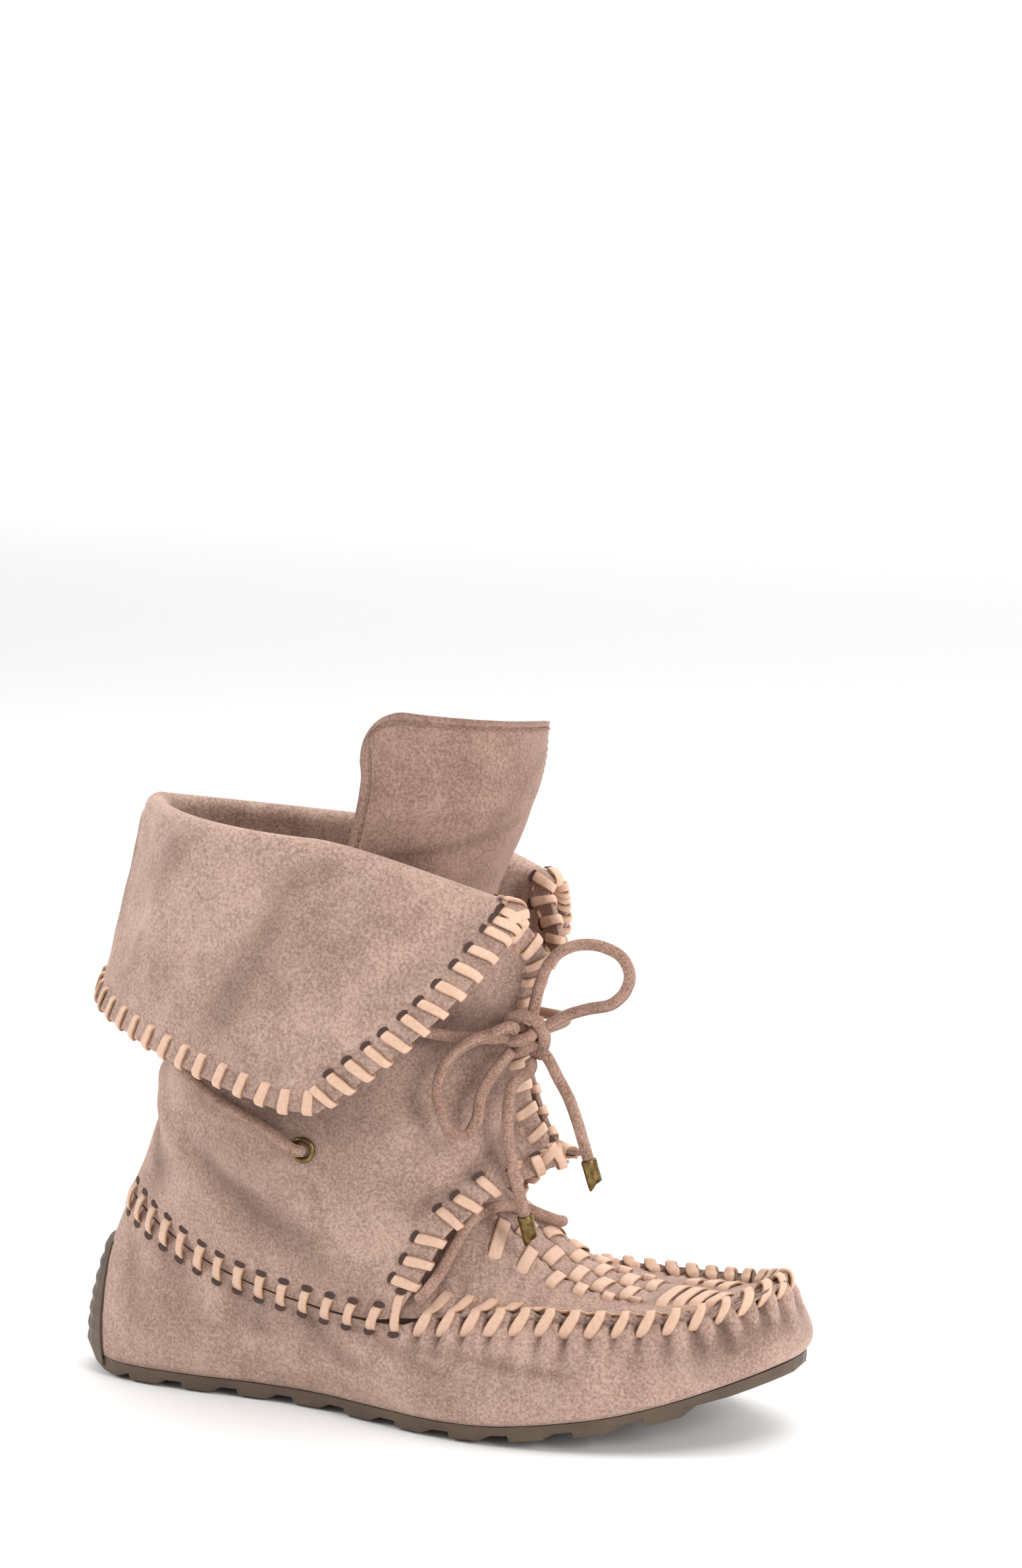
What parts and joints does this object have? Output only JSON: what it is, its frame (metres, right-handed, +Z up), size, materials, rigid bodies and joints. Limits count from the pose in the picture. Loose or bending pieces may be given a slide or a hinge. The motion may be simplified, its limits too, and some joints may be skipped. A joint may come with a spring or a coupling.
{
  "type": "moccasin boot",
  "caption": "Suede moccasin ankle boot for the right foot, with fold-over whip-laced cuff, woven apron, tall tongue, drawcord bow and flat lugged rubber sole",
  "frame": {"origin": "under the middle of the boot, on the floor that the tread stands on", "axes": "+X points to the toe, -Y is the outer side of this right shoe, +Z is up"},
  "size_m": [0.263, 0.1281, 0.2385],
  "materials": {
    "suede": "napped dusty rose suede",
    "suede_cord": "round suede cord, a little darker than the shaft",
    "lining": "smooth tan leather",
    "rubber": "satin brown rubber",
    "antique_brass": "aged brass, satin"
  },
  "bodies": {
    "root": {"outsole": "rubber", "insole": "lining", "upper": "suede", "shaft": "suede", "tongue": "suede", "eyelet_near_rear": "antique_brass", "eyelet_near_front": "antique_brass", "eyelet_far_rear": "antique_brass", "eyelet_far_front": "antique_brass", "drawcord_back": "suede_cord", "drawcord_near": "suede_cord", "drawcord_far": "suede_cord", "instep_tie": "suede_cord", "knot": "suede_cord", "loop_low": "suede_cord", "loop_high": "suede_cord", "tail_low": "suede_cord", "tail_high": "suede_cord", "aglet_low": "antique_brass", "aglet_high": "antique_brass"}
  },
  "joints": []
}
